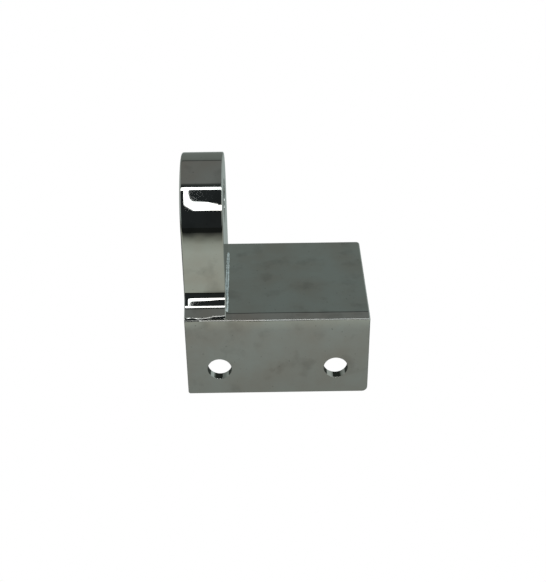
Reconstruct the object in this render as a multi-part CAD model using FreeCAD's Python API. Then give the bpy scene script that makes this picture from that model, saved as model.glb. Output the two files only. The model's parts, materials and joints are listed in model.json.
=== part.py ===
import FreeCAD, Part
import math
import os

# Lugged angle bracket, chrome plated: a sharp-cornered angle plate with two screw holes,
# and a thick round-headed lug with a pin hole, set on the plate's left end, brazed along
# its inner and rear foot and dressed flush in front and on the left.
#
# Frame: millimetres, +X right along the angle, +Y back into the window frame, +Z up.
# Origin: midway between the two screw holes, on the flange's seat (rear) face.

# ---- driving dimensions ---------------------------------------------------------------

# Angle plate
plate_width = 50.0          # along X
leg_depth = 40.0            # top leg, from the flange's front face to its back edge
flange_height = 25.0        # flange, from its bottom edge to the leg's top face
plate_thickness = 2.5       # both legs of the angle
root_radius = 2.0           # inside corner of the angle
flange_corner_radius = 1.5  # flange's free lower right corner
leg_corner_radius = 1.0     # leg's free rear right corner
plate_edge_radius = 0.5     # buffed outer edges
plate_back_radius = 0.2     # edges on the side that sits on the frame

# Screw holes for M6 screws
screw_hole_diameter = 6.6
screw_spacing = 32.0
screw_edge_distance = 8.5   # from the flange's bottom edge to the hole axes
screw_rim_break = 0.1

# Lug
lug_thickness = 11.2        # along X
lug_setback = 5.3           # lug's front face behind the flange's
lug_rear_margin = 5.7       # leg left free behind the lug
lug_head_height = 23.9      # head's centre above the leg's top face
foot_radius = 4.7           # hollow sweep from the lug's front face into the toe
toe_slope = 32.0            # degrees below level at which the toe runs out forwards
toe_thickness = 0.3         # toe's front end
lug_edge_radius = 0.5       # buffed outline edges

# Pin hole
pin_hole_diameter = 12.0
pin_offset = 1.6            # hole's axis above the head's centre
pin_rim_break = 0.2

# Brazing bead
bead_leg = 0.8              # size of the bead on the lug and on the plate
bead_cover = 0.6            # height by which the foot stands above the bead where it starts
bead_hollow = 0.36          # middle of the bead's face, as a share of its leg (0.5 is flat)

# ---- places worked out from them ------------------------------------------------------

left_end = -plate_width / 2
right_end = plate_width / 2
front_face = -plate_thickness
back_edge = front_face + leg_depth
bottom_edge = -screw_edge_distance
leg_top = bottom_edge + flange_height
leg_underside = leg_top - plate_thickness

toe_front = front_face + plate_edge_radius
toe_top = leg_top + toe_thickness
toe_rise = math.tan(math.radians(toe_slope))
sweep_turn = math.radians(90 - toe_slope)
lug_inner_side = left_end + lug_thickness
lug_front = front_face + lug_setback
lug_back = back_edge - lug_rear_margin
sweep_end = lug_front - foot_radius * (1 - math.cos(sweep_turn))
sweep_foot = toe_top + (sweep_end - toe_front) * toe_rise
sweep_top = sweep_foot + foot_radius * math.sin(sweep_turn)
head_radius = (lug_back - lug_front) / 2
head_y = lug_front + head_radius
head_z = leg_top + lug_head_height
pin_z = head_z + pin_offset

X_AXIS = FreeCAD.Vector(1, 0, 0)
Y_AXIS = FreeCAD.Vector(0, 1, 0)
Z_AXIS = FreeCAD.Vector(0, 0, 1)


def point(x, y, z):
    return FreeCAD.Vector(x, y, z)


def line(a, b):
    return Part.LineSegment(a, b).toShape()


def arc(a, middle, b):
    return Part.Arc(a, middle, b).toShape()


def face_of(edges):
    return Part.Face(Part.Wire(edges))


def drill(diameter, start, direction, depth):
    """A cylinder along direction that runs past both ends of a wall of that depth."""
    run_out = 1.0
    base = start - direction * run_out
    return Part.makeCylinder(diameter / 2, depth + 2 * run_out, base, direction)


def edges_on(shape, on_edge):
    """The edges whose ends and middle all pass the test."""
    found = []
    for edge in shape.Edges:
        middle = (edge.FirstParameter + edge.LastParameter) / 2
        probes = [vertex.Point for vertex in edge.Vertexes] + [edge.valueAt(middle)]
        if all(on_edge(probe) for probe in probes):
            found.append(edge)
    return found


def near(a, b):
    return abs(a - b) < 1e-6


def circles_of(shape, radius, x=None, y=None):
    """The whole circular edges of that radius on the plane at x or at y."""
    found = []
    for edge in shape.Edges:
        if not isinstance(edge.Curve, Part.Circle) or not near(edge.Curve.Radius, radius):
            continue
        centre = edge.Curve.Center
        if (x is not None and near(centre.x, x)) or (y is not None and near(centre.y, y)):
            found.append(edge)
    return found


# ---- angle plate ----------------------------------------------------------------------

def angle_plate():
    """Extruded angle: flange in front, leg on top, sharp outside and rounded inside."""
    root_corner = root_radius * (1 - math.sqrt(0.5))
    section = face_of([
        line(point(left_end, front_face, bottom_edge), point(left_end, front_face, leg_top)),
        line(point(left_end, front_face, leg_top), point(left_end, back_edge, leg_top)),
        line(point(left_end, back_edge, leg_top), point(left_end, back_edge, leg_underside)),
        line(point(left_end, back_edge, leg_underside),
             point(left_end, root_radius, leg_underside)),
        arc(point(left_end, root_radius, leg_underside),
            point(left_end, root_corner, leg_underside - root_corner),
            point(left_end, 0, leg_underside - root_radius)),
        line(point(left_end, 0, leg_underside - root_radius), point(left_end, 0, bottom_edge)),
        line(point(left_end, 0, bottom_edge), point(left_end, front_face, bottom_edge)),
    ])
    plate = section.extrude(X_AXIS * plate_width)

    flange_corner = edges_on(plate, lambda p: near(p.x, right_end) and near(p.z, bottom_edge))
    plate = plate.makeFillet(flange_corner_radius, flange_corner)
    leg_corner = edges_on(plate, lambda p: near(p.x, right_end) and near(p.y, back_edge))
    plate = plate.makeFillet(leg_corner_radius, leg_corner)

    for side in (-1, 1):
        start = point(side * screw_spacing / 2, front_face, 0)
        plate = plate.cut(drill(screw_hole_diameter, start, Y_AXIS, plate_thickness))
    rims = circles_of(plate, screw_hole_diameter / 2, y=front_face)
    plate = plate.makeChamfer(screw_rim_break, rims)

    # Outer edges: all round the flange's front face, and the leg's free top edges. The
    # leg's left edge stays sharp, because the lug is dressed flush with it.
    rim = edges_on(plate, lambda p: near(p.y, front_face) and clear_of_holes(p))
    free_leg = edges_on(plate, lambda p: near(p.z, leg_top) and is_free_leg_edge(p))
    plate = plate.makeFillet(plate_edge_radius, rim + free_leg)

    lower_back = edges_on(plate, lambda p: near(p.y, 0) and near(p.z, bottom_edge))
    lower_leg = edges_on(plate, lambda p: near(p.y, back_edge) and near(p.z, leg_underside))
    return plate.makeFillet(plate_back_radius, lower_back + lower_leg)


def clear_of_holes(p):
    """Whether a point of the front face lies on its outline, and not on a screw hole."""
    reach = screw_hole_diameter / 2 + 2 * screw_rim_break
    holes = (-screw_spacing / 2, screw_spacing / 2)
    return all(math.hypot(p.x - x, p.z) > reach for x in holes)


def is_free_leg_edge(p):
    """Whether a point of the leg's top face lies on its right or rear outline."""
    beside = p.x > right_end - leg_corner_radius - 1e-6
    behind = p.y > back_edge - leg_corner_radius - 1e-6
    return beside or behind


# ---- pivot lug ------------------------------------------------------------------------

def pivot_lug():
    """Thick plate with a full-round head, a pin hole and a hollow front foot."""
    sweep_middle_y = lug_front - foot_radius * (1 - math.cos(sweep_turn / 2))
    sweep_middle_z = sweep_top - foot_radius * math.sin(sweep_turn / 2)
    x = left_end
    profile = face_of([
        line(point(x, lug_back, leg_top), point(x, lug_back, head_z)),
        arc(point(x, lug_back, head_z), point(x, head_y, head_z + head_radius),
            point(x, lug_front, head_z)),
        line(point(x, lug_front, head_z), point(x, lug_front, sweep_top)),
        arc(point(x, lug_front, sweep_top),
            point(x, sweep_middle_y, sweep_middle_z),
            point(x, sweep_end, sweep_foot)),
        line(point(x, sweep_end, sweep_foot), point(x, toe_front, toe_top)),
        line(point(x, toe_front, toe_top), point(x, toe_front, leg_top)),
        line(point(x, toe_front, leg_top), point(x, lug_back, leg_top)),
    ])
    lug = profile.extrude(X_AXIS * lug_thickness)
    sides = (left_end, lug_inner_side)
    outline = edges_on(lug, lambda p: p.z > leg_top + 1e-6 or near(p.y, lug_back))
    outline = [edge for edge in outline if on_sides(edge, sides) and not is_upright_toe(edge)]
    lug = lug.makeFillet(lug_edge_radius, outline)

    lug = lug.cut(drill(pin_hole_diameter, point(left_end, head_y, pin_z), X_AXIS, lug_thickness))
    rims = []
    for side in sides:
        rims += circles_of(lug, pin_hole_diameter / 2, x=side)
    return lug.makeChamfer(pin_rim_break, rims)


def on_sides(edge, sides):
    """Whether an edge lies in the left or the inner side face."""
    return any(all(near(vertex.Point.x, side) for vertex in edge.Vertexes) for side in sides)


def is_upright_toe(edge):
    return all(near(vertex.Point.y, toe_front) for vertex in edge.Vertexes)


# ---- brazing bead ---------------------------------------------------------------------

def bead_section(foot, outward):
    """Hollow-faced bead section whose corner lies at foot, in the plane of outward and Z."""
    out_point = foot + outward * bead_leg
    top_point = foot + Z_AXIS * bead_leg
    hollow = bead_leg * bead_hollow
    middle = foot + outward * hollow + Z_AXIS * hollow
    return face_of([line(foot, out_point), arc(out_point, middle, top_point), line(top_point, foot)])


def bead_inner():
    """Bead along the lug's inner foot, from behind the toe to the rounded rear corner."""
    rise = bead_leg + bead_cover - toe_thickness
    start_y = toe_front + rise / toe_rise
    end_y = lug_back - lug_edge_radius
    section = bead_section(point(lug_inner_side, start_y, leg_top), X_AXIS)
    return section.extrude(Y_AXIS * (end_y - start_y))


def bead_rear():
    """Bead round the lug's rear inner corner and along its rear foot."""
    corner_x = lug_inner_side - lug_edge_radius
    corner_y = lug_back - lug_edge_radius
    corner_foot = point(lug_inner_side, corner_y, leg_top)
    corner = bead_section(corner_foot, X_AXIS).revolve(point(corner_x, corner_y, 0), Z_AXIS, 90)
    length = corner_x - (left_end + lug_edge_radius)
    along = bead_section(point(corner_x, lug_back, leg_top), Y_AXIS).extrude(X_AXIS * -length)
    return corner.fuse(along).removeSplitter()


# ---- write the pieces -----------------------------------------------------------------

pieces = {
    "angle_plate": angle_plate,
    "pivot_lug": pivot_lug,
    "braze_bead_inner": bead_inner,
    "braze_bead_rear": bead_rear,
}

os.makedirs("parts", exist_ok=True)
for name, make in pieces.items():
    shape = make()
    assert shape.isValid() and len(shape.Solids) == 1, name
    shape.Solids[0].exportStep("parts/" + name + ".step")
    box = shape.BoundBox
    print(name, "volume %.1f mm3" % shape.Volume,
          "size %.2f x %.2f x %.2f mm" % (box.XLength, box.YLength, box.ZLength))
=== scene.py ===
import json
import math

import bmesh
import bpy
from mathutils import Matrix, Vector


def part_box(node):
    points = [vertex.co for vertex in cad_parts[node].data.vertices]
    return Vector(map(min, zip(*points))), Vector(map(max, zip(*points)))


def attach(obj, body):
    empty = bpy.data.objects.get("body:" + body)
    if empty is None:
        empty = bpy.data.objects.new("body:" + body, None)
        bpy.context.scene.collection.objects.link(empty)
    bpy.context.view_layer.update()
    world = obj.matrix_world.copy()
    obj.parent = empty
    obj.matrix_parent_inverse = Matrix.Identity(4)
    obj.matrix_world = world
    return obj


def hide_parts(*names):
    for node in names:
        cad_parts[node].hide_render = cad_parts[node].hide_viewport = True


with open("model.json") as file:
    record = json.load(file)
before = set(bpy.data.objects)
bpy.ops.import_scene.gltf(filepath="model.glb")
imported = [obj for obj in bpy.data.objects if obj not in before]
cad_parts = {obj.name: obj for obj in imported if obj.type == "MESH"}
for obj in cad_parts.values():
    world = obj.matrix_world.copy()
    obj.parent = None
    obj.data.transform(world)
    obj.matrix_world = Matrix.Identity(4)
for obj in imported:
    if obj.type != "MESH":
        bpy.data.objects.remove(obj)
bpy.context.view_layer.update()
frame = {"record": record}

bpy.ops.object.select_all(action="DESELECT")
mm = 0.001


# ---- Angle plate ----------------------------------------------------------------------
# A steel angle, 2.5 mm thick, milled sharp outside and rounded in its inside corner, with
# two drilled screw holes. It was ground and buffed by hand, which dubbed the leg's front
# end over and rolled its edges off, and then chrome plated.

plate_low, plate_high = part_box("angle_plate")
wall = 2.5 * mm
seat_face = plate_low.y + wall
underside = plate_high.z - wall
root_radius = 2.0 * mm
flange_corner = 1.5 * mm
lower_left_corner = 0.6 * mm
leg_corner = 1.0 * mm
dubbed_length = 3.0 * mm
dubbed_drop = 0.24 * mm
dubbed_start = 0.4 * mm
dressing_cuts = 24
ripple_height = 0.05 * mm
ripple_waves = (2.3 * mm, 5.1 * mm)
roll_off = 0.35 * mm
widest_roll_off = 0.5 * mm
wheel_bite = 0.15 * mm
wheel_waves = (4.7 * mm, 2.6 * mm)
wheel_eases_over = 9 * mm
back_edge_radius = 0.2 * mm
screw_rim = 0.08 * mm
screw_radius = 3.3 * mm
screw_reach = frame["record"]["mounts"][0]["dims"]["spacing_x_mm"] / 2 * mm
sharp_angle = math.radians(40)
close = 0.01 * mm


def near(a, b):
    return abs(a - b) < close


def pick(piece):
    """Selects the piece alone."""
    bpy.ops.object.select_all(action="DESELECT")
    piece.select_set(True)
    bpy.context.view_layer.objects.active = piece


def begin(piece):
    """Opens the piece alone in edit mode."""
    pick(piece)
    bpy.ops.object.mode_set(mode="EDIT")


def end():
    bpy.ops.object.mode_set(mode="OBJECT")


def choose(kind, wanted):
    """Selects the vertices, edges or faces of the piece in edit mode that pass the test."""
    bpy.ops.mesh.select_mode(type={"verts": "VERT", "edges": "EDGE", "faces": "FACE"}[kind])
    bpy.ops.mesh.select_all(action="DESELECT")
    mesh = bmesh.from_edit_mesh(bpy.context.edit_object.data)
    for part in getattr(mesh, kind):
        if wanted(part):
            part.select_set(True)
    mesh.select_flush_mode()
    bmesh.update_edit_mesh(bpy.context.edit_object.data)


def both_ends(edge, test):
    return all(test(vert.co) for vert in edge.verts)


def is_corner(edge):
    return len(edge.link_faces) == 2 and edge.calc_face_angle() > sharp_angle


def block(name, low, high):
    """A box between two corners, its place in its mesh."""
    low, high = Vector(low), Vector(high)
    bpy.ops.mesh.primitive_cube_add(size=1, location=(low + high) / 2, scale=high - low)
    bpy.ops.object.transform_apply(location=True, rotation=True, scale=True)
    piece = bpy.context.object
    piece.name = name
    return piece


def finish_with(piece, kind, **settings):
    """Adds a modifier with its settings and applies it."""
    modifier = piece.modifiers.new(kind.title(), kind)
    for key, value in settings.items():
        setattr(modifier, key, value)
    pick(piece)
    bpy.ops.object.modifier_apply(modifier=modifier.name)


def split(piece, place, across):
    """Cuts the piece's faces along a plane, so that a hole drilled on it has two halves."""
    begin(piece)
    bpy.ops.mesh.select_all(action="SELECT")
    bpy.ops.mesh.bisect(plane_co=place, plane_no=across)
    end()


def drill(piece, radius, centre, axis, depth, sides=96):
    """Cuts a round hole of that radius and depth about centre."""
    turn = Vector((0, 0, 1)).rotation_difference(Vector(axis)).to_euler()
    bpy.ops.mesh.primitive_cylinder_add(
        vertices=sides, radius=radius, depth=depth, location=centre, rotation=turn)
    bpy.ops.object.transform_apply(location=True, rotation=True, scale=True)
    bit = bpy.context.object
    finish_with(piece, "BOOLEAN", object=bit, operation="DIFFERENCE", solver="EXACT")
    bpy.data.objects.remove(bit)


def smooth(piece, flat_area):
    """Shades the piece smooth. A hair-wide inset round each face larger than flat_area
    keeps its whole middle flat."""
    begin(piece)
    bpy.ops.mesh.select_all(action="SELECT")
    bpy.ops.mesh.dissolve_degenerate(threshold=0.002 * mm)
    choose("faces", lambda face: face.calc_area() > flat_area)
    bpy.ops.mesh.inset(thickness=0.03 * mm)
    choose("faces", lambda face: len(face.verts) > 4)
    bpy.ops.mesh.quads_convert_to_tris(quad_method="BEAUTY", ngon_method="BEAUTY")
    end()
    pick(piece)
    bpy.ops.object.shade_smooth_by_angle(angle=sharp_angle)
    finish_with(piece, "WEIGHTED_NORMAL", weight=100, keep_sharp=True)


def uneven(x, waves):
    """How a hand's pressure wanders along an edge, from -1 to 1: two waves that beat."""
    return math.sin(x / waves[0]) * math.sin(x / waves[1])


# The leg, with the flange drawn down from its front strip.
plate = block("angle_plate_buffed", (plate_low.x, plate_low.y, underside), plate_high)
begin(plate)
choose("faces", lambda face: face.normal.z < -0.9)
bpy.ops.mesh.bisect(plane_co=(0, seat_face, 0), plane_no=(0, 1, 0))
choose("faces", lambda face: face.normal.z < -0.9 and face.calc_center_median().y < seat_face)
bpy.ops.mesh.extrude_region_move(
    TRANSFORM_OT_translate={"value": (0, 0, plate_low.z - underside)})

# The leg's front end, dubbed over by the wheel and slightly rippled.
choose("faces", lambda face: face.normal.z > 0.9)
bpy.ops.mesh.bisect(plane_co=(0, plate_low.y + dubbed_length, 0), plane_no=(0, 1, 0))
choose("edges", lambda edge: both_ends(
    edge, lambda p: near(p.z, plate_high.z) and p.y < plate_low.y + dubbed_length + close)
    and near(edge.verts[0].co.y, edge.verts[1].co.y))
bpy.ops.mesh.subdivide(number_cuts=dressing_cuts)
choose("verts", lambda vert: near(vert.co.y, plate_low.y) and near(vert.co.z, plate_high.z))
for vert in bmesh.from_edit_mesh(plate.data).verts:
    if vert.select:
        vert.co.z -= dubbed_drop + ripple_height * uneven(vert.co.x, ripple_waves)
bmesh.update_edit_mesh(plate.data)
choose("edges", lambda edge: both_ends(
    edge, lambda p: near(p.y, plate_low.y + dubbed_length) and near(p.z, plate_high.z)))
bpy.ops.mesh.bevel(offset=dubbed_start, segments=5, affect="EDGES")

# The inside corner, and the flange's and the leg's free corners.
choose("edges", lambda edge: both_ends(
    edge, lambda p: near(p.y, seat_face) and near(p.z, underside)))
bpy.ops.mesh.bevel(offset=root_radius, segments=10, affect="EDGES")
choose("edges", lambda edge: both_ends(
    edge, lambda p: near(p.x, plate_high.x) and near(p.z, plate_low.z)))
bpy.ops.mesh.bevel(offset=flange_corner, segments=10, affect="EDGES")
choose("edges", lambda edge: both_ends(
    edge, lambda p: near(p.x, plate_low.x) and near(p.z, plate_low.z)))
bpy.ops.mesh.bevel(offset=lower_left_corner, segments=6, affect="EDGES")
choose("edges", lambda edge: both_ends(
    edge, lambda p: near(p.x, plate_high.x) and near(p.y, plate_high.y)))
bpy.ops.mesh.bevel(offset=leg_corner, segments=8, affect="EDGES")
end()

for side in (-1, 1):
    split(plate, (side * screw_reach, 0, 0), (1, 0, 0))
    drill(plate, screw_radius, (side * screw_reach, seat_face - wall / 2, 0), (0, 1, 0),
          depth=2 * wall)


def on_front_end(p):
    """On the long edge between the dubbed leg and the flange."""
    return near(p.y, plate_low.y) and p.z > plate_high.z - 2 * dubbed_drop


def on_front(p):
    """On the rest of the outline of the flange's front face, and on neither screw hole."""
    reach = 1.2 * screw_radius
    return near(p.y, plate_low.y) and math.hypot(abs(p.x) - screw_reach, p.z) > reach


def on_free_leg(p):
    """On the right or rear outline of the leg's top."""
    right = p.x > plate_high.x - leg_corner - close
    behind = p.y > plate_high.y - leg_corner - close
    return p.z > plate_high.z - 2 * dubbed_drop and (right or behind)


def is_screw_rim(edge):
    return both_ends(edge, lambda p: near(math.hypot(abs(p.x) - screw_reach, p.z), screw_radius))


# The edges that a wheel reaches are rolled off, the long front one unevenly. The screw
# holes' rims and the edges behind are only broken.
begin(plate)
mesh = bmesh.from_edit_mesh(plate.data)
weights = mesh.edges.layers.float.new("bevel_weight_edge")
for edge in mesh.edges:
    if is_corner(edge) and both_ends(edge, on_front_end):
        x = (edge.verts[0].co.x + edge.verts[1].co.x) / 2
        wheel = uneven(x, wheel_waves) * min(1, (plate_high.x - x) / wheel_eases_over)
        edge[weights] = (roll_off + wheel_bite * wheel) / widest_roll_off
    elif is_corner(edge) and (both_ends(edge, on_front) or both_ends(edge, on_free_leg)):
        edge[weights] = roll_off / widest_roll_off
end()
finish_with(plate, "BEVEL", width=widest_roll_off, segments=8, limit_method="WEIGHT",
            use_clamp_overlap=False)
begin(plate)
choose("edges", lambda edge: is_corner(edge) and is_screw_rim(edge))
bpy.ops.mesh.bevel(offset=screw_rim, segments=3, affect="EDGES")
choose("edges", is_corner)
bpy.ops.mesh.bevel(offset=back_edge_radius, segments=3, affect="EDGES")
end()
smooth(plate, flat_area=20 * mm * mm)
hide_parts("angle_plate")
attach(plate, "root")


# Bright chrome plate over buffed steel: a cold mirror that gives back a little over
# half of the light. Hand buffing leaves it faintly wavy, so reflected edges wander.
# Handling leaves a film in soft blotches, greenish in places and brownish in others, with
# darker smudges and pits. Real pits and the grain of the plating are under a tenth of a
# millimetre across, and both are drawn coarser, so that they show.

film_size = 11 * mm
smudge_size = 6 * mm
pit_size = 0.9 * mm
dulling_size = 8 * mm
buffing_wave = 5 * mm
plating_grain = 0.6 * mm


def linear(colour):
    """Linear red, green, blue and alpha of an sRGB hex colour."""
    parts = [int(colour[i:i + 2], 16) / 255 for i in (1, 3, 5)]
    return [p / 12.92 if p <= 0.04045 else ((p + 0.055) / 1.055) ** 2.4 for p in parts] + [1.0]


def add_node(tree, kind, links=(), **settings):
    """Adds a node. settings are its inputs by name, or its own properties; links are
    (its input, another node's output)."""
    node = tree.nodes.new(kind)
    for key, value in settings.items():
        name = key.replace("_", " ").title()
        if name in node.inputs:
            node.inputs[name].default_value = value
        else:
            setattr(node, key, value)
    for name, output in links:
        tree.links.new(output, node.inputs[name])
    return node


def new_material(name):
    made = bpy.data.materials.new(name)
    made.use_nodes = True
    made.node_tree.nodes.clear()
    return made, made.node_tree


def chrome(name, clean, filmed, roughness, smudge, wave, grain):
    """Chrome plate between two tints. smudge is the share of light lost in a smudge. A pit
    loses half as much again, and a dull patch is up to 2.5 times as rough. wave and grain
    are the heights of the buffing waves and of the plating's grain."""
    made, tree = new_material(name)
    at = add_node(tree, "ShaderNodeTexCoord").outputs["Object"]

    def noise(size, detail):
        return add_node(tree, "ShaderNodeTexNoise", [("Vector", at)],
                        scale=1 / size, detail=detail).outputs["Fac"]

    def mottle(size, detail, cover, values):
        """Soft blotches of that size. Where the noise climbs through cover, the result goes
        from the first of the values to the second."""
        spread = add_node(tree, "ShaderNodeMapRange", [("Value", noise(size, detail))],
                          from_min=cover[0], from_max=cover[1],
                          to_min=values[0], to_max=values[1])
        return spread.outputs["Result"]

    film = mottle(film_size, 5.0, cover=(0.35, 0.65), values=(0.0, 1.0))
    tint = add_node(tree, "ShaderNodeMix", [("Factor", film)], data_type="RGBA")
    tint.inputs["A"].default_value = linear(clean)
    tint.inputs["B"].default_value = linear(filmed)
    smudges = mottle(smudge_size, 6.0, cover=(0.55, 0.7), values=(1.0, 1.0 - smudge))
    pits = mottle(pit_size, 2.0, cover=(0.7, 0.76), values=(1.0, 1.0 - 1.5 * smudge))
    shade = add_node(tree, "ShaderNodeMath", [(0, smudges), (1, pits)], operation="MULTIPLY")
    base = add_node(tree, "ShaderNodeVectorMath",
                    [(0, tint.outputs["Result"]), (1, shade.outputs["Value"])],
                    operation="MULTIPLY")
    dulling = mottle(dulling_size, 4.0, cover=(0.4, 0.7), values=(roughness, 2.5 * roughness))
    wavy = add_node(tree, "ShaderNodeBump", [("Height", noise(buffing_wave, 1.0))],
                    distance=wave)
    grainy = add_node(tree, "ShaderNodeBump",
                      [("Height", noise(plating_grain, 3.0)), ("Normal", wavy.outputs["Normal"])],
                      distance=grain)
    shader = add_node(tree, "ShaderNodeBsdfPrincipled",
                      [("Base Color", base.outputs["Vector"]), ("Roughness", dulling),
                       ("Normal", grainy.outputs["Normal"])], metallic=1.0)
    add_node(tree, "ShaderNodeOutputMaterial", [("Surface", shader.outputs["BSDF"])])
    return made


bright_chrome = chrome("bright_chrome_plate", clean="#C6CBC8", filmed="#C0BEB8", roughness=0.022,
                       smudge=0.16, wave=0.014 * mm, grain=0.0003 * mm)
plate.data.materials.append(bright_chrome)


# ---- Pivot lug ------------------------------------------------------------------------
# A thick lug cut from steel bar with a full-round head and a bored pin hole. Its front
# sweeps down in a hollow, tight at the top and easing out to a thin toe over the flange,
# as a round file leaves it. It was brazed on, and buffed and plated with the plate.

lug_low, lug_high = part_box("pivot_lug")
lug_width = lug_high.x - lug_low.x
lug_setback = 5.3 * mm
lug_front = plate_low.y + lug_setback
head_radius = (lug_high.y - lug_front) / 2
head_y = lug_front + head_radius
head_z = lug_high.z - head_radius
head_sides = 192
straight_steps = 12
edge_strip = 1.2 * mm
middle_strips = 22
outer_edge = 0.6 * mm
inner_edge = 0.35 * mm
foot_edge = 0.3 * mm

pin = frame["record"]["mounts"][1]
pin_radius = pin["dims"]["r_mm"] * mm
pin_y, pin_z = pin["pos_m"][1], pin["pos_m"][2]
pin_sides = 128
pin_rim = 0.3 * mm
bit_length = 30 * mm

toe_slope = math.radians(32)
toe_thickness = 0.3 * mm
toe_edge = 0.2 * mm
toe_reach = 0.3 * mm
toe_buried = 0.6 * mm
toe_short_left = 0.2 * mm
toe_short_right = 0.7 * mm
toe_waver = 0.05 * mm
out_of_square = 0.008
square_again_over = 0.5 * mm

# The hollow is drawn in short steps, so that its radius can ease from step to step.
hollow_radius = 3.3 * mm
hollow_lead = 1.6 * mm
hollow_easing = 9 * mm
hollow_turn = math.pi / 2 - toe_slope
hollow_steps = 48
hollow = []
for step in range(hollow_steps):
    share = (step + 0.5) / hollow_steps
    radius = hollow_radius + hollow_lead * (1 - share) ** 2 + hollow_easing * share ** 4
    length = radius * hollow_turn / hollow_steps
    heading = share * hollow_turn
    hollow.append((-length * math.sin(heading), -length * math.cos(heading)))
sweep_end = lug_front + sum(dy for dy, dz in hollow)
toe_drop = (sweep_end - lug_low.y) * math.tan(toe_slope)
sweep_top = lug_low.z + toe_thickness + toe_drop - sum(dz for dy, dz in hollow)

bpy.ops.mesh.primitive_circle_add(
    vertices=head_sides, radius=head_radius, location=(lug_low.x, head_y, head_z),
    rotation=(0, math.pi / 2, 0))
bpy.ops.object.transform_apply(location=True, rotation=True, scale=True)
lug = bpy.context.object
lug.name = "pivot_lug_buffed"


def draw_on(dy, dz):
    """Draws the outline on from its selected end."""
    bpy.ops.mesh.extrude_region_move(TRANSFORM_OT_translate={"value": (0, dy, dz)})


def thicken(distance):
    bpy.ops.mesh.extrude_region_move(TRANSFORM_OT_translate={"value": (distance, 0, 0)})


# The outline, from the half-round head down the front and the back, then thickened in
# strips that let the foot be worked unevenly.
begin(lug)
choose("verts", lambda vert: vert.co.z < head_z - close)
bpy.ops.mesh.delete(type="VERT")
choose("verts", lambda vert: near(vert.co.z, head_z) and vert.co.y < head_y)
for step in range(straight_steps):
    draw_on(0, (sweep_top - head_z) / straight_steps)
for dy, dz in hollow:
    draw_on(dy, dz)
draw_on(lug_low.y - sweep_end, -toe_drop)
draw_on(0, -toe_thickness)
choose("verts", lambda vert: near(vert.co.z, head_z) and vert.co.y > head_y)
draw_on(0, lug_low.z - head_z)
choose("verts", lambda vert: near(vert.co.z, lug_low.z))
bpy.ops.mesh.edge_face_add()
bpy.ops.mesh.select_all(action="SELECT")
bpy.ops.mesh.remove_doubles(threshold=close / 10)
bpy.ops.mesh.edge_face_add()
thicken(edge_strip)
for strip in range(middle_strips):
    thicken((lug_width - 2 * edge_strip) / middle_strips)
thicken(edge_strip)
bpy.ops.mesh.select_all(action="SELECT")
bpy.ops.mesh.normals_make_consistent(inside=False)
end()

# Both side outlines rolled off, the outer one most, and less round the foot.
side_weights = lug.data.attributes.new("bevel_weight_edge", "FLOAT", "EDGE")
for edge in lug.data.edges:
    ends = [lug.data.vertices[i].co for i in edge.vertices]
    middle = (ends[0] + ends[1]) / 2
    on_base = all(near(p.z, lug_low.z) for p in ends)
    toe_end = all(near(p.y, lug_low.y) for p in ends)
    for side, width in ((lug_low.x, outer_edge), (lug_high.x, inner_edge)):
        if all(near(p.x, side) for p in ends) and not on_base and not toe_end:
            rise = min(1, max(0, (middle.z - sweep_top) / (head_z - sweep_top)))
            rolled = foot_edge + (width - foot_edge) * rise
            side_weights.data[edge.index].value = rolled / outer_edge
finish_with(lug, "BEVEL", width=outer_edge, segments=8, limit_method="WEIGHT",
            use_clamp_overlap=False)


def dressed_back(x):
    """How far the file and wheel took the toe's end back: almost flush with the flange on
    the left, short of it on the right, and never quite straight. The change comes between
    the middle of the width and three quarters of it."""
    along = (x - lug_low.x) / lug_width
    step = min(1, max(0, (along - 0.5) / 0.25))
    eased = step * step * (3 - 2 * step)
    waver = toe_waver * math.sin(14 * along)
    return toe_short_left + (toe_short_right - toe_short_left) * eased + waver


# The toe, dressed back along its slope above and down into the plate's dubbed end below,
# and the whole foot filed slightly out of square.
begin(lug)
choose("verts", lambda vert: vert.co.y < sweep_end - close
       and vert.co.z > lug_low.z + toe_thickness / 2)
for vert in bmesh.from_edit_mesh(lug.data).verts:
    if vert.select:
        reach = (sweep_end - vert.co.y) / (sweep_end - lug_low.y)
        back = (dressed_back(vert.co.x) - toe_reach) * reach
        vert.co.y += back
        vert.co.z += back * math.tan(toe_slope)
choose("verts", lambda vert: near(vert.co.y, lug_low.y) and near(vert.co.z, lug_low.z))
for vert in bmesh.from_edit_mesh(lug.data).verts:
    if vert.select:
        vert.co.y = plate_low.y + dressed_back(vert.co.x)
        vert.co.z -= toe_buried
for vert in bmesh.from_edit_mesh(lug.data).verts:
    if vert.co.y < lug_front + close and lug_low.z + close < vert.co.z < sweep_top:
        fade = min(1, (sweep_top - vert.co.z) / square_again_over)
        vert.co.y += out_of_square * (vert.co.x - lug_low.x) * fade
bmesh.update_edit_mesh(lug.data)
choose("edges", lambda edge: is_corner(edge) and both_ends(
    edge, lambda p: p.z > lug_low.z + close and p.y < sweep_end - close))
bpy.ops.mesh.bevel(offset=toe_edge, segments=5, affect="EDGES")
end()

# The pin hole.
split(lug, (0, pin_y, 0), (0, 1, 0))
drill(lug, pin_radius, ((lug_low.x + lug_high.x) / 2, pin_y, pin_z), (1, 0, 0),
      depth=bit_length, sides=pin_sides)
begin(lug)
choose("edges", lambda edge: is_corner(edge) and both_ends(
    edge, lambda p: near(math.hypot(p.y - pin_y, p.z - pin_z), pin_radius)))
bpy.ops.mesh.bevel(offset=pin_rim, segments=4, affect="EDGES")
end()
smooth(lug, flat_area=60 * mm * mm)
lug.data.materials.append(bright_chrome)
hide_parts("pivot_lug")
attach(lug, "root")


# ---- Brazing beads --------------------------------------------------------------------
# The filler that shows along the lug's inner foot and round its rear one. It was left as
# it ran, because a buffing wheel can't reach into the corner, and plated with the rest.

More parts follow.
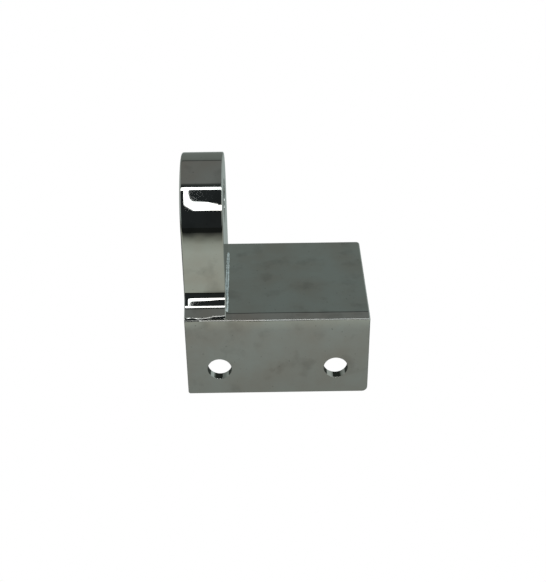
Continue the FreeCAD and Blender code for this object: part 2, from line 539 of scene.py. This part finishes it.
bead_radius = 0.36 * mm
bead_growth = 1.75
bead_step = 0.3 * mm
bead_sides = 14
lump_size = 0.8 * mm
lump_height = 0.3 * mm
corner_radius = inner_edge
inner_bead_short = 2.2 * mm
rear_bead_short = 1.5 * mm
inner_bead_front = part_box("braze_bead_inner")[0].y + inner_bead_short
bead_start = Vector((lug_high.x, lug_high.y - corner_radius, plate_high.z))

# Chrome plate over unbuffed filler: its roughness scatters the light, so the bead looks
# satin and slightly blue beside the mirror round it. Its tint is painted near white, far
# paler than the bright plate's: a painted sheen that brightens the bead. Its grain
# is drawn coarser too.
dull_chrome_painted_sheen = chrome("unbuffed_chrome_painted_sheen", clean="#F2FBFD", filmed="#CADCE3", roughness=0.2,
                     smudge=0.2, wave=0.05 * mm, grain=0.03 * mm)
lumps = bpy.data.textures.new("braze_lumps", "CLOUDS")
lumps.noise_scale = lump_size


def begin_bead(name):
    """The round end of a bead by the lug's rear inner corner, ready to be drawn out."""
    bpy.ops.mesh.primitive_circle_add(
        vertices=bead_sides, radius=bead_radius, fill_type="NGON", location=bead_start,
        rotation=(math.pi / 2, 0, 0))
    bpy.ops.object.transform_apply(location=True, rotation=True, scale=True)
    piece = bpy.context.object
    piece.name = name
    begin(piece)
    bpy.ops.mesh.select_all(action="SELECT")
    return piece


def draw_bead(dx, dy):
    """Draws the bead along the joint, a little fatter towards its end."""
    steps = round(math.hypot(dx, dy) / bead_step)
    growth = bead_growth ** (1 / steps)
    for step in range(steps):
        bpy.ops.mesh.extrude_region_move(
            TRANSFORM_OT_translate={"value": (dx / steps, dy / steps, 0)})
        bpy.ops.transform.resize(value=(growth, growth, growth))


def round_off(away):
    """Closes the selected end with a small drop of filler, in two shrinking steps."""
    for reach, scale in ((0.35, 0.85), (0.25, 0.55)):
        bpy.ops.mesh.extrude_region_move(
            TRANSFORM_OT_translate={"value": away * reach * bead_radius})
        bpy.ops.transform.resize(value=(scale, scale, scale))


def finish_bead(piece, node):
    bpy.ops.mesh.select_all(action="SELECT")
    bpy.ops.mesh.normals_make_consistent(inside=False)
    end()
    finish_with(piece, "SUBSURF", levels=1, render_levels=1)
    finish_with(piece, "DISPLACE", texture=lumps, texture_coords="LOCAL", strength=lump_height,
                mid_level=0.5)
    bpy.ops.object.shade_smooth()
    piece.data.materials.append(dull_chrome_painted_sheen)
    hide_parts(node)
    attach(piece, "root")


inner_bead = begin_bead("bead_inner_filler")
draw_bead(0, inner_bead_front - bead_start.y)
round_off(Vector((0, -1, 0)))
finish_bead(inner_bead, "braze_bead_inner")

rear_bead = begin_bead("bead_rear_filler")
bpy.ops.mesh.spin(steps=6, angle=-math.pi / 2, axis=(0, 0, 1),
                  center=(lug_high.x - corner_radius, bead_start.y, 0))
draw_bead(corner_radius + rear_bead_short - lug_width, 0)
round_off(Vector((-1, 0, 0)))
finish_bead(rear_bead, "braze_bead_rear")


# ---- Studio ---------------------------------------------------------------------------
# Only the camera sees the pale floor and backdrop. Only the plating sees the table's tones,
# the dim grey room and the ring lamp, a soft lamp in front of and above the bracket.

def glow(name, colour, strength):
    made, tree = new_material(name)
    shader = add_node(tree, "ShaderNodeEmission", color=linear(colour), strength=strength)
    add_node(tree, "ShaderNodeOutputMaterial", [("Surface", shader.outputs["Emission"])])
    return made


def only_seen_by(card, camera=False, glossy=False):
    card.visible_camera = camera
    card.visible_glossy = glossy
    card.visible_diffuse = False
    card.visible_shadow = False
    card.visible_transmission = False


# The floor lies a hair below the bracket. It glows upwards and is clear from below, so
# that the underside can be looked at.
floor_z = plate_low.z
pale_floor, floor_nodes = new_material("pale_floor")
lit = add_node(floor_nodes, "ShaderNodeEmission", color=linear("#FFFFFF"), strength=1.0)
clear = add_node(floor_nodes, "ShaderNodeBsdfTransparent")
facing = add_node(floor_nodes, "ShaderNodeNewGeometry")
one_sided = add_node(floor_nodes, "ShaderNodeMixShader", [
    (0, facing.outputs["Backfacing"]), (1, lit.outputs["Emission"]), (2, clear.outputs["BSDF"])])
add_node(floor_nodes, "ShaderNodeOutputMaterial", [("Surface", one_sided.outputs["Shader"])])
bpy.ops.mesh.primitive_plane_add(size=8, location=(0, 0, floor_z - 0.2 * mm))
floor = bpy.context.object
floor.name = "pale_floor"
bpy.ops.mesh.primitive_uv_sphere_add(radius=4)
backdrop = bpy.context.object
backdrop.name = "pale_backdrop"
pale_backdrop = glow("pale_backdrop", "#FFFFFF", 1.0)
for sheet, finish in ((floor, pale_floor), (backdrop, pale_backdrop)):
    sheet.data.materials.append(finish)
    only_seen_by(sheet, camera=True)

# The table's tones as the plating sees them, from front to back in y, in millimetres: dark
# far in front, pale before the bracket, darker next to the flange, dark in its shade and
# pale again behind. The table glows with these tones, so its light is painted, and the
# bracket's shade next to and under it is painted shadow.
table_size = 0.6
toned_reach = 0.15
front_dark, behind_pale = "#202221", "#98A29E"
table_stops = (
    (-84, front_dark), (-81, "#555752"), (-77, "#8A8D84"), (-74, "#ACAFA5"), (-68, "#B8BAB0"),
    (-40, "#B2B4AA"), (-33, "#999C97"), (-3, "#8E918C"), (5, "#3C403D"), (62, "#3C403D"),
    (80, behind_pale))
shaded_table, table_nodes = new_material("shaded_table")
place = add_node(table_nodes, "ShaderNodeTexCoord")
apart = add_node(table_nodes, "ShaderNodeSeparateXYZ", [("Vector", place.outputs["Object"])])
span = add_node(table_nodes, "ShaderNodeMapRange", [("Value", apart.outputs["Y"])],
                from_min=-toned_reach, from_max=toned_reach)
table_tones = add_node(table_nodes, "ShaderNodeValToRGB", [("Fac", span.outputs["Result"])])
for y, tone in table_stops:
    stop = table_tones.color_ramp.elements.new((y * mm + toned_reach) / (2 * toned_reach))
    stop.color = linear(tone)
table_tones.color_ramp.elements[0].color = linear(front_dark)
table_tones.color_ramp.elements[-1].color = linear(behind_pale)
# The glow carries the table's painted light and the bracket's painted shadow.
table_glow = add_node(table_nodes, "ShaderNodeEmission",
                      [("Color", table_tones.outputs["Color"])])
add_node(table_nodes, "ShaderNodeOutputMaterial", [("Surface", table_glow.outputs["Emission"])])
bpy.ops.mesh.primitive_plane_add(size=table_size,
                                 location=(0, toned_reach, floor_z - 0.1 * mm))
bpy.ops.object.transform_apply(location=True, rotation=True, scale=True)
table = bpy.context.object
table.name = "table_tone"
table.data.materials.append(shaded_table)
only_seen_by(table, glossy=True)

# The room's tones go from straight below (-90 degrees) up in front (0) and over the top
# (90) to behind (180). Towards both sides they fade into one paler grey.
grey = linear("#7B827E")
warm_grey = linear("#7A7B78")
dim_grey = linear("#737976")
black = linear("#2A2D2E")
dark = linear("#3C3F3E")
pale_flank = linear("#B9C1BE")
flank_shift = 0.15
flank_starts, flank_full = 0.35, 0.65
room_stops = ((-90, grey), (-24, grey), (-22, black), (66, black), (75, dark), (78, warm_grey),
              (139, warm_grey), (140.5, dark), (141.5, dark), (143, dim_grey), (151, grey))
room = bpy.data.worlds.new("dim_room")
room.use_nodes = True
sky = room.node_tree
sky.nodes.clear()
outwards = add_node(sky, "ShaderNodeTexCoord")
direction = add_node(sky, "ShaderNodeSeparateXYZ", [("Vector", outwards.outputs["Generated"])])
forward = add_node(sky, "ShaderNodeMath", [(0, direction.outputs["Y"])], operation="MULTIPLY")
forward.inputs[1].default_value = -1
climb = add_node(sky, "ShaderNodeMath",
                 [(0, direction.outputs["Z"]), (1, forward.outputs["Value"])],
                 operation="ARCTAN2")
height = add_node(sky, "ShaderNodeMapRange", [("Value", climb.outputs["Value"])],
                  from_min=-math.pi, from_max=math.pi)
room_tones = add_node(sky, "ShaderNodeValToRGB", [("Fac", height.outputs["Result"])])
for elevation, tone in room_stops:
    room_tones.color_ramp.elements.new((elevation + 180) / 360).color = tone
room_tones.color_ramp.elements[0].color = grey
room_tones.color_ramp.elements[-1].color = grey
off_centre = add_node(sky, "ShaderNodeMath", [(0, direction.outputs["X"])], operation="ADD")
off_centre.inputs[1].default_value = flank_shift
sideways = add_node(sky, "ShaderNodeMath", [(0, off_centre.outputs["Value"])],
                    operation="ABSOLUTE")
flank = add_node(sky, "ShaderNodeMapRange", [("Value", sideways.outputs["Value"])],
                 from_min=flank_starts, from_max=flank_full)
walls = add_node(sky, "ShaderNodeMix",
                 [("Factor", flank.outputs["Result"]), ("A", room_tones.outputs["Color"])],
                 data_type="RGBA")
walls.inputs["B"].default_value = pale_flank
dim_light = add_node(sky, "ShaderNodeBackground", [("Color", walls.outputs["Result"])],
                     strength=1.0)
add_node(sky, "ShaderNodeOutputWorld", [("Surface", dim_light.outputs["Background"])])
bpy.context.scene.world = room

# The ring lamp is a flat card with an opening, square to the line from the lug, so the
# hollow and the head each mirror it as a bright outline round a dark middle. Places on it
# are in millimetres, x from the middle of the bracket and y up from the lug's middle.
lamp_away = 0.3
lamp_elevation = math.radians(45)
lamp_strength = 3.0
opening_low, opening_high = -36, 96
opening_left = -43
opening_bends = ((-33, -38), (-26, -74), (170, -74))
opening_corner = 5 * mm
ring_low, ring_high = -140, 128
ring_bends = ((-45.6, -70), (-46.2, 88), (-260, 106))
ring_corner = 30 * mm
card_size = 1.0
rim_width = 0.2
rim_starts = 0.4 * card_size
aim = Vector(((lug_low.x + lug_high.x) / 2, head_y, (lug_low.z + lug_high.z) / 2))
towards = Vector((0, -math.cos(lamp_elevation), math.sin(lamp_elevation)))
bpy.ops.mesh.primitive_plane_add(size=card_size)
ring = bpy.context.object
ring.name = "ring_lamp"


def place_corners(left_low, left_high, right, low, high):
    """Puts the four selected corners there."""
    for vert in bmesh.from_edit_mesh(ring.data).verts:
        if vert.select:
            left = left_high if vert.co.y > 0 else left_low
            x = (right if vert.co.x > 0 else left) * mm - aim.x
            vert.co = Vector((x, (high if vert.co.y > 0 else low) * mm, 0))


def place_bends(verts, places):
    for vert, (x, y) in zip(verts, places):
        vert.co = Vector((x * mm - aim.x, y * mm, 0))


begin(ring)
bpy.ops.mesh.select_all(action="SELECT")
bpy.ops.mesh.inset(thickness=rim_width)
bpy.ops.mesh.delete(type="FACE")
choose("verts", lambda vert: abs(vert.co.x) < rim_starts)
place_corners(left_low=-39.8, left_high=opening_left, right=170,
              low=opening_low, high=opening_high)
choose("edges", lambda edge: both_ends(edge, lambda p: near(p.y, opening_low * mm)))
bpy.ops.mesh.subdivide(number_cuts=2)
low_side = [vert for vert in bmesh.from_edit_mesh(ring.data).verts
            if near(vert.co.y, opening_low * mm)]
low_side.sort(key=lambda vert: vert.co.x)
place_bends(low_side[1:], opening_bends)
choose("verts", lambda vert: abs(vert.co.x) < rim_starts)
bpy.ops.mesh.bevel(offset=opening_corner, segments=5, affect="VERTICES")
choose("verts", lambda vert: abs(vert.co.x) > rim_starts)
place_corners(left_low=-41, left_high=-260, right=190, low=ring_low, high=ring_high)
choose("edges", lambda edge: both_ends(
    edge, lambda p: (near(p.y, ring_low * mm) or near(p.y, ring_high * mm)) and p.x < 0))
bpy.ops.mesh.subdivide(number_cuts=len(ring_bends))
left_side = [vert for vert in bmesh.from_edit_mesh(ring.data).verts
             if ring_low * mm + close < vert.co.y < ring_high * mm - close
             and vert.co.x < (opening_left - 1) * mm - aim.x]
left_side.sort(key=lambda vert: vert.co.y)
place_bends(left_side, ring_bends)
choose("verts", lambda vert: near(vert.co.y, ring_bends[0][1] * mm))
bpy.ops.mesh.bevel(offset=ring_corner, segments=8, affect="VERTICES")
end()
turned = towards.to_track_quat("Z", "Y").to_matrix().to_4x4()
ring.matrix_world = Matrix.Translation(aim + towards * lamp_away) @ turned
ring.data.materials.append(glow("ring_lamp", "#FFFFFF", lamp_strength))
only_seen_by(ring, glossy=True)


# ---- Camera ---------------------------------------------------------------------------
# A long lens 0.3 m away, looking down at 33 degrees, and turned and rolled by a hair.

camera_data = bpy.data.cameras.new("camera")
camera_data.sensor_width = 36
camera_data.lens = 68.65
camera_data.clip_start = 0.01
camera = bpy.data.objects.new("camera", camera_data)
bpy.context.scene.collection.objects.link(camera)
camera_place = (-2.77 * mm, -246.94 * mm, 185.56 * mm)
yaw, pitch, roll = math.radians(-0.397), math.radians(33.215), math.radians(-0.605)
looking = (Matrix.Rotation(yaw, 4, "Z") @ Matrix.Rotation(math.pi / 2 - pitch, 4, "X")
           @ Matrix.Rotation(roll, 4, "Z"))
camera.matrix_world = Matrix.Translation(camera_place) @ looking
bpy.context.scene.camera = camera
bpy.context.scene.view_settings.view_transform = "Standard"
